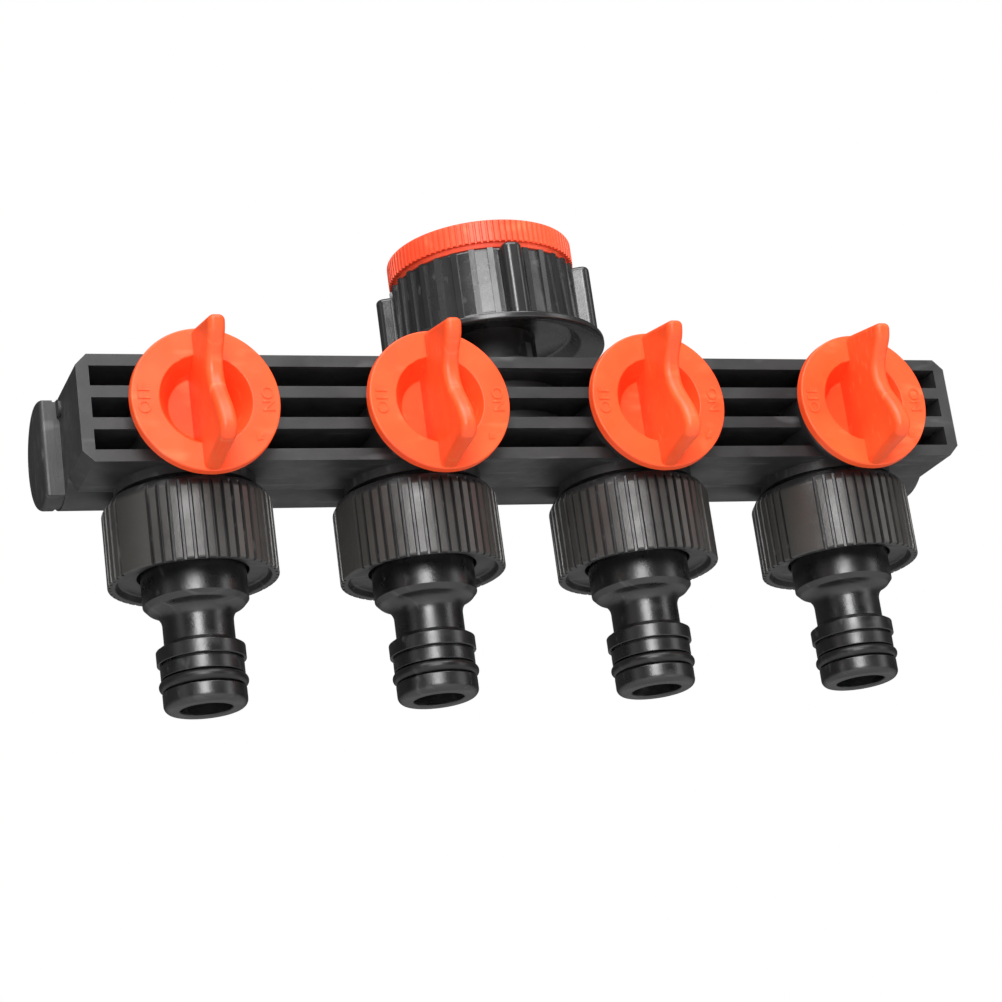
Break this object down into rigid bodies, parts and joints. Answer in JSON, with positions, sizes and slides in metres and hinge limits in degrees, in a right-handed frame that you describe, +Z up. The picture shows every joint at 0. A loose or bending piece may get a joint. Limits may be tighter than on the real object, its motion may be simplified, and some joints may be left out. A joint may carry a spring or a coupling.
{
  "type": "hose splitter",
  "caption": "Garden tap manifold with a swivel inlet nut and a row of quarter-turn valves, each feeding a push-fit hose nipple under a knurled nut.",
  "frame": {"origin": "on the inlet axis at the seat a tap's end presses on, inside the reducer ring", "axes": "+Z up along the inlet towards the tap, +X along the manifold, knobs towards -Y, outlets towards -Z"},
  "size_m": [0.1931, 0.0658, 0.0982],
  "materials": {
    "body_black": "grained moulded polypropylene",
    "nut_black": "semi-gloss moulded plastic",
    "nipple_black": "smooth moulded plastic",
    "knob_orange": "satin moulded plastic",
    "ring_red": "satin moulded plastic",
    "plug_white": "smooth low-friction plastic",
    "rubber": "soft black rubber"
  },
  "bodies": {
    "manifold": {"manifold_body": "body_black", "end_cap": "body_black", "inlet_spigot": "body_black", "inlet_washer": "rubber", "valve_bonnet_1": "body_black", "port_seal_1": "rubber", "valve_bonnet_2": "body_black", "port_seal_2": "rubber", "valve_bonnet_3": "body_black", "port_seal_3": "rubber", "valve_bonnet_4": "body_black", "port_seal_4": "rubber"},
    "valve_1": {"knob_1": "knob_orange", "valve_plug_1": "plug_white", "stem_o_ring_1": "rubber"},
    "nipple_1": {"nipple_1": "nipple_black", "nipple_o_ring_1": "rubber", "outlet_washer_1": "rubber"},
    "outlet_nut_1": {"outlet_nut_1": "nut_black"},
    "valve_2": {"knob_2": "knob_orange", "valve_plug_2": "plug_white", "stem_o_ring_2": "rubber"},
    "nipple_2": {"nipple_2": "nipple_black", "nipple_o_ring_2": "rubber", "outlet_washer_2": "rubber"},
    "outlet_nut_2": {"outlet_nut_2": "nut_black"},
    "valve_3": {"knob_3": "knob_orange", "valve_plug_3": "plug_white", "stem_o_ring_3": "rubber"},
    "nipple_3": {"nipple_3": "nipple_black", "nipple_o_ring_3": "rubber", "outlet_washer_3": "rubber"},
    "outlet_nut_3": {"outlet_nut_3": "nut_black"},
    "valve_4": {"knob_4": "knob_orange", "valve_plug_4": "plug_white", "stem_o_ring_4": "rubber"},
    "nipple_4": {"nipple_4": "nipple_black", "nipple_o_ring_4": "rubber", "outlet_washer_4": "rubber"},
    "outlet_nut_4": {"outlet_nut_4": "nut_black"},
    "inlet_nut": {"inlet_nut": "nut_black"},
    "reducer_washer": {"reducer_washer": "rubber"},
    "reducer_ring": {"reducer_ring": "ring_red"}
  },
  "joints": [
    {"name": "valve_1_turn", "type": "hinge", "parent": "manifold", "child": "valve_1", "pos_m": [-0.0705, -0.0055, -0.0356], "axis": [0, 1, 0], "range_deg": [0, 90]},
    {"name": "nipple_1_drop", "type": "slide", "parent": "manifold", "child": "nipple_1", "axis": [0, 0, -1], "range_m": [0, 0.0091]},
    {"name": "outlet_nut_1_unscrew", "type": "hinge", "parent": "nipple_1", "child": "outlet_nut_1", "pos_m": [-0.0705, -0.0055, -0.0556], "axis": [0, 0, -1], "range_deg": [0, 1800]},
    {"name": "valve_2_turn", "type": "hinge", "parent": "manifold", "child": "valve_2", "pos_m": [-0.0235, -0.0055, -0.0356], "axis": [0, 1, 0], "range_deg": [0, 90]},
    {"name": "nipple_2_drop", "type": "slide", "parent": "manifold", "child": "nipple_2", "axis": [0, 0, -1], "range_m": [0, 0.0091]},
    {"name": "outlet_nut_2_unscrew", "type": "hinge", "parent": "nipple_2", "child": "outlet_nut_2", "pos_m": [-0.0235, -0.0055, -0.0556], "axis": [0, 0, -1], "range_deg": [0, 1800]},
    {"name": "valve_3_turn", "type": "hinge", "parent": "manifold", "child": "valve_3", "pos_m": [0.0235, -0.0055, -0.0356], "axis": [0, 1, 0], "range_deg": [0, 90]},
    {"name": "nipple_3_drop", "type": "slide", "parent": "manifold", "child": "nipple_3", "axis": [0, 0, -1], "range_m": [0, 0.0091]},
    {"name": "outlet_nut_3_unscrew", "type": "hinge", "parent": "nipple_3", "child": "outlet_nut_3", "pos_m": [0.0235, -0.0055, -0.0556], "axis": [0, 0, -1], "range_deg": [0, 1800]},
    {"name": "valve_4_turn", "type": "hinge", "parent": "manifold", "child": "valve_4", "pos_m": [0.0705, -0.0055, -0.0356], "axis": [0, 1, 0], "range_deg": [0, 90]},
    {"name": "nipple_4_drop", "type": "slide", "parent": "manifold", "child": "nipple_4", "axis": [0, 0, -1], "range_m": [0, 0.0091]},
    {"name": "outlet_nut_4_unscrew", "type": "hinge", "parent": "nipple_4", "child": "outlet_nut_4", "pos_m": [0.0705, -0.0055, -0.0556], "axis": [0, 0, -1], "range_deg": [0, 1800]},
    {"name": "inlet_nut_swivel", "type": "hinge", "parent": "manifold", "child": "inlet_nut", "pos_m": [0, 0, -0.0076], "axis": [0, 0, 1], "continuous": true},
    {"name": "reducer_lift", "type": "slide", "parent": "inlet_nut", "child": "reducer_washer", "axis": [0, 0, 1], "range_m": [0, 0.007]},
    {"name": "reducer_unscrew", "type": "hinge", "parent": "reducer_washer", "child": "reducer_ring", "pos_m": [0, 0, 0.0004], "axis": [0, 0, 1], "range_deg": [0, 1080]}
  ],
  "couplings": [
    {"joint": "nipple_1_drop", "follows": "outlet_nut_1_unscrew", "m_per_rad": 0.00028871},
    {"joint": "nipple_2_drop", "follows": "outlet_nut_2_unscrew", "m_per_rad": 0.00028871},
    {"joint": "nipple_3_drop", "follows": "outlet_nut_3_unscrew", "m_per_rad": 0.00028871},
    {"joint": "nipple_4_drop", "follows": "outlet_nut_4_unscrew", "m_per_rad": 0.00028871},
    {"joint": "reducer_lift", "follows": "reducer_unscrew", "m_per_rad": 0.00036749}
  ]
}
